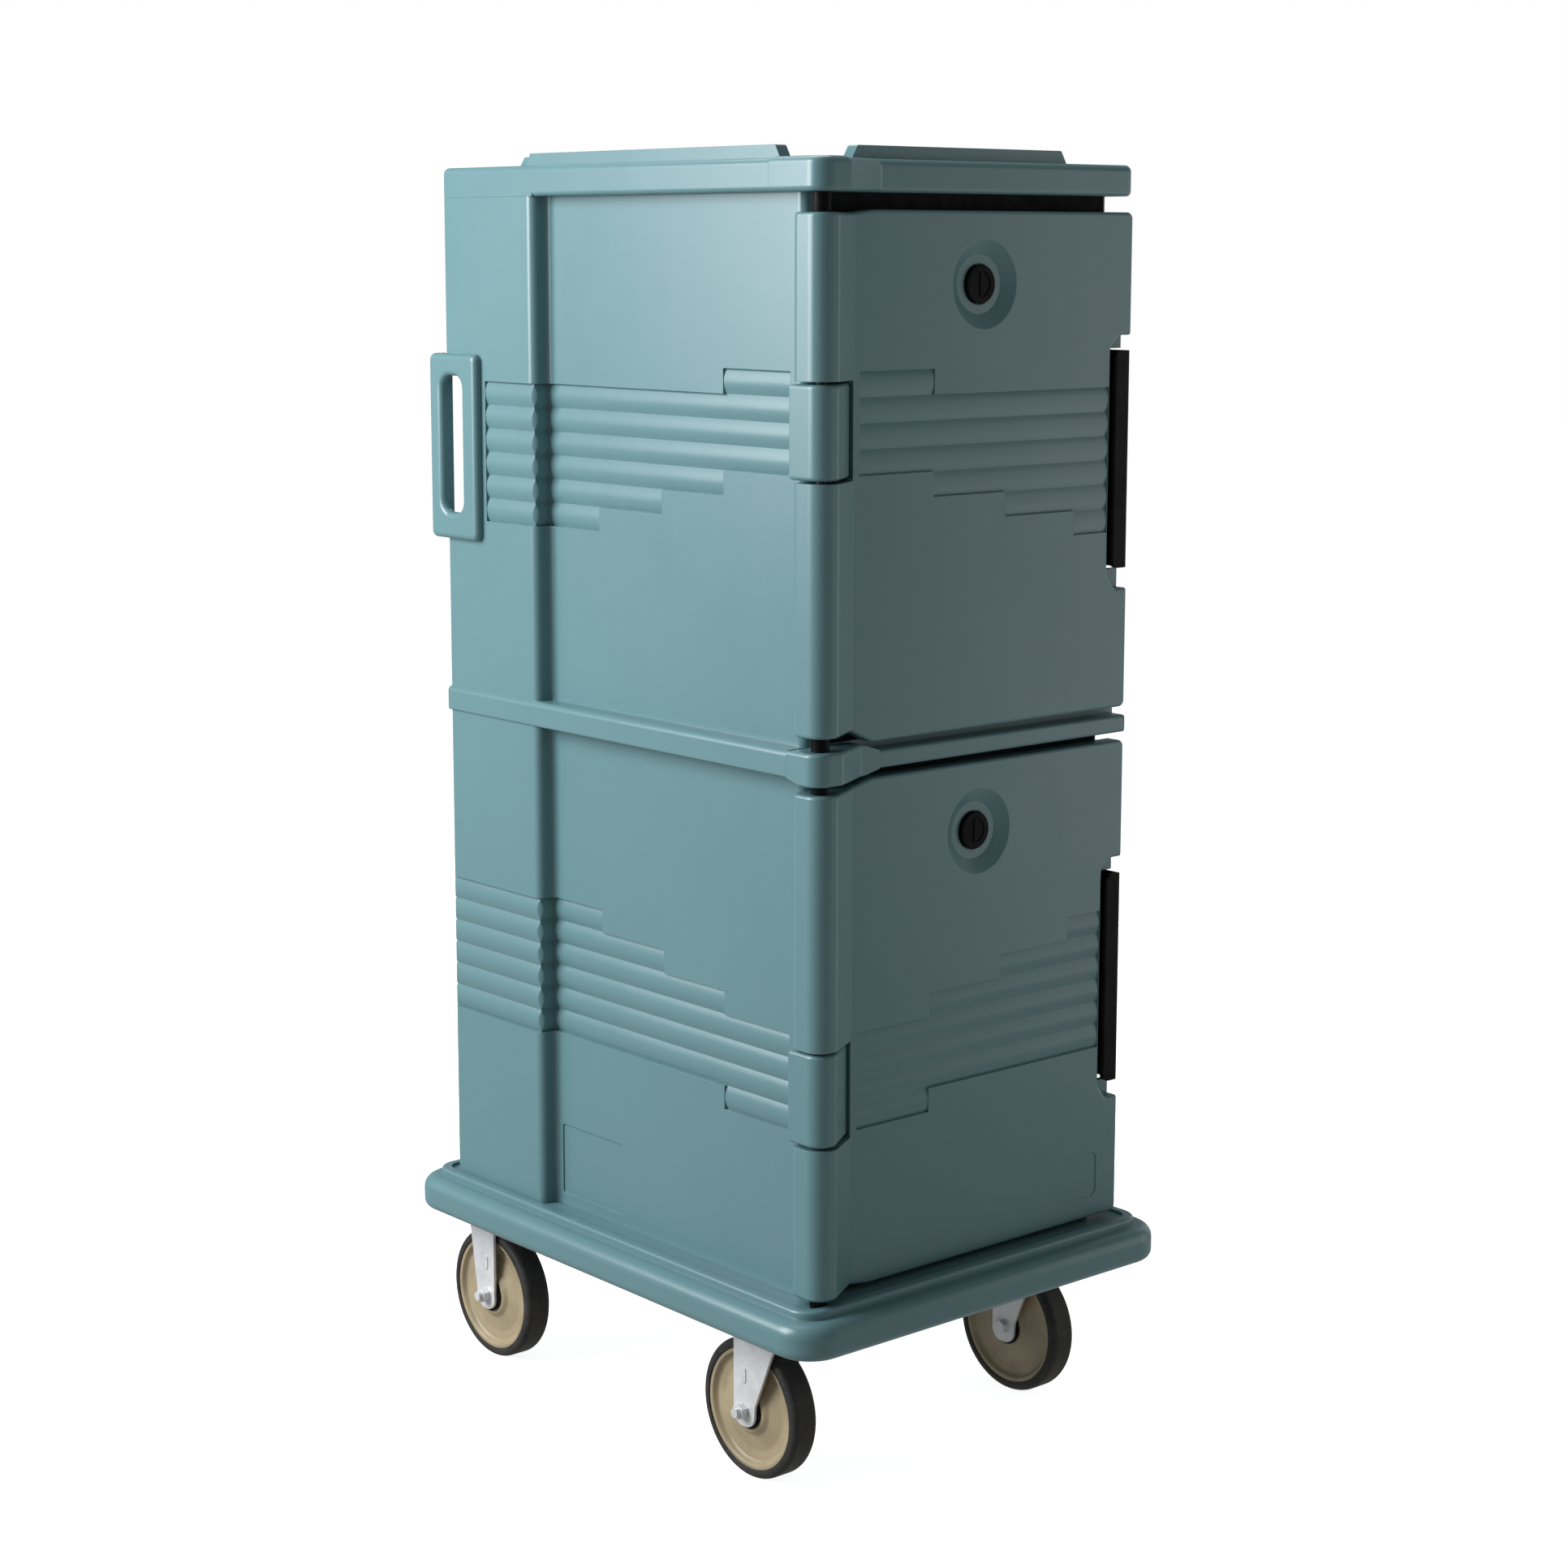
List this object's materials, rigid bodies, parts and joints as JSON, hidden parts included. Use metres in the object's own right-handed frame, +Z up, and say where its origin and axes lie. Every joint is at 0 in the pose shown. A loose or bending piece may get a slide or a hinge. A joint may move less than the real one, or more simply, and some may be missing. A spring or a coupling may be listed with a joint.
{
  "type": "insulated food carrier",
  "caption": "Tall moulded insulated cabinet on casters with an upper and a lower hinged door, ribbed walls, side latches, push-pull vents and a rounded base bumper.",
  "frame": {"origin": "on the floor under the centre of the base bumper", "axes": "+Z up, -Y towards the front with the doors, -X towards the hinge side"},
  "size_m": [0.525, 0.694, 1.3645],
  "materials": {
    "body": "satin",
    "liner": "satin",
    "foam": "matt",
    "gasket": "matt",
    "black_plastic": "satin",
    "steel": "satin",
    "painted_steel": "matt",
    "zinc": "zinc plated",
    "wheel_core": "satin",
    "tread": "matt"
  },
  "bodies": {
    "cabinet": {"outer_shell": "body", "base_bumper": "body", "top_cover": "body", "side_handle_left": "body", "side_handle_right": "body", "hinge_boss_middle": "body", "foam_core": "foam", "rim_gaskets": "gasket", "latch_screws": "steel", "caster_bolts": "steel", "liner_upper": "liner", "hinge_knuckle_upper": "body", "hinge_pin_upper": "painted_steel", "latch_pin_upper": "steel", "latch_springs_upper": "steel", "hinge_bushes_upper": "black_plastic", "latch_bracket_upper": "black_plastic", "liner_lower": "liner", "hinge_knuckle_lower": "body", "hinge_pin_lower": "painted_steel", "latch_pin_lower": "steel", "latch_springs_lower": "steel", "hinge_bushes_lower": "black_plastic", "latch_bracket_lower": "black_plastic", "swivel_plate_front_left": "zinc", "swivel_plate_front_right": "zinc", "caster_fork_rear_left": "zinc", "caster_fork_rear_right": "zinc", "axle_bolts_rear": "zinc", "axle_nuts_rear": "zinc"},
    "door_upper": {"door_shell_upper": "body", "door_foam_upper": "foam", "door_liner_upper": "liner", "door_gasket_upper": "gasket"},
    "vent_upper": {"vent_cap_upper": "black_plastic"},
    "latch_upper": {"latch_handle_upper": "black_plastic"},
    "door_lower": {"door_shell_lower": "body", "door_foam_lower": "foam", "door_liner_lower": "liner", "door_gasket_lower": "gasket"},
    "vent_lower": {"vent_cap_lower": "black_plastic"},
    "latch_lower": {"latch_handle_lower": "black_plastic"},
    "swivel_left": {"caster_fork_front_left": "zinc", "axle_bolt_front_left": "zinc", "axle_nut_front_left": "zinc"},
    "wheel_front_left": {"hub_bush_front_left": "black_plastic", "wheel_core_front_left": "wheel_core", "tyre_front_left": "tread"},
    "wheel_rear_left": {"hub_bush_rear_left": "black_plastic", "wheel_core_rear_left": "wheel_core", "tyre_rear_left": "tread"},
    "swivel_right": {"caster_fork_front_right": "zinc", "axle_bolt_front_right": "zinc", "axle_nut_front_right": "zinc"},
    "wheel_front_right": {"hub_bush_front_right": "black_plastic", "wheel_core_front_right": "wheel_core", "tyre_front_right": "tread"},
    "wheel_rear_right": {"hub_bush_rear_right": "black_plastic", "wheel_core_rear_right": "wheel_core", "tyre_rear_right": "tread"}
  },
  "joints": [
    {"name": "door_upper_hinge", "type": "hinge", "parent": "cabinet", "child": "door_upper", "pos_m": [-0.2108, -0.307, 0.9], "axis": [0, 0, 1], "range_deg": [-270, 0]},
    {"name": "vent_upper_slide", "type": "slide", "parent": "door_upper", "child": "vent_upper", "axis": [0, -1, 0], "range_m": [0, 0.006]},
    {"name": "latch_upper_hinge", "type": "hinge", "parent": "cabinet", "child": "latch_upper", "pos_m": [0.219, -0.261, 1.047], "axis": [0, 0, 1], "range_deg": [0, 100], "stiffness_Nm_per_rad": 0.15, "springref_deg": -20.05},
    {"name": "door_lower_hinge", "type": "hinge", "parent": "cabinet", "child": "door_lower", "pos_m": [-0.2108, -0.307, 0.5], "axis": [0, 0, 1], "range_deg": [-270, 0]},
    {"name": "vent_lower_slide", "type": "slide", "parent": "door_lower", "child": "vent_lower", "axis": [0, -1, 0], "range_m": [0, 0.006]},
    {"name": "latch_lower_hinge", "type": "hinge", "parent": "cabinet", "child": "latch_lower", "pos_m": [0.219, -0.261, 0.48875], "axis": [0, 0, 1], "range_deg": [0, 100], "stiffness_Nm_per_rad": 0.15, "springref_deg": -20.05},
    {"name": "swivel_left", "type": "hinge", "parent": "cabinet", "child": "swivel_left", "pos_m": [-0.1889, -0.2203, 0.1565], "axis": [0, 0, 1], "continuous": true},
    {"name": "wheel_front_left_axle", "type": "hinge", "parent": "swivel_left", "child": "wheel_front_left", "pos_m": [-0.1889, -0.1903, 0.0745], "axis": [1, 0, 0], "continuous": true},
    {"name": "wheel_rear_left_axle", "type": "hinge", "parent": "cabinet", "child": "wheel_rear_left", "pos_m": [-0.1889, 0.2714, 0.0745], "axis": [1, 0, 0], "continuous": true},
    {"name": "swivel_right", "type": "hinge", "parent": "cabinet", "child": "swivel_right", "pos_m": [0.1889, -0.2203, 0.1565], "axis": [0, 0, 1], "continuous": true},
    {"name": "wheel_front_right_axle", "type": "hinge", "parent": "swivel_right", "child": "wheel_front_right", "pos_m": [0.1889, -0.1903, 0.0745], "axis": [1, 0, 0], "continuous": true},
    {"name": "wheel_rear_right_axle", "type": "hinge", "parent": "cabinet", "child": "wheel_rear_right", "pos_m": [0.1889, 0.2714, 0.0745], "axis": [1, 0, 0], "continuous": true}
  ]
}
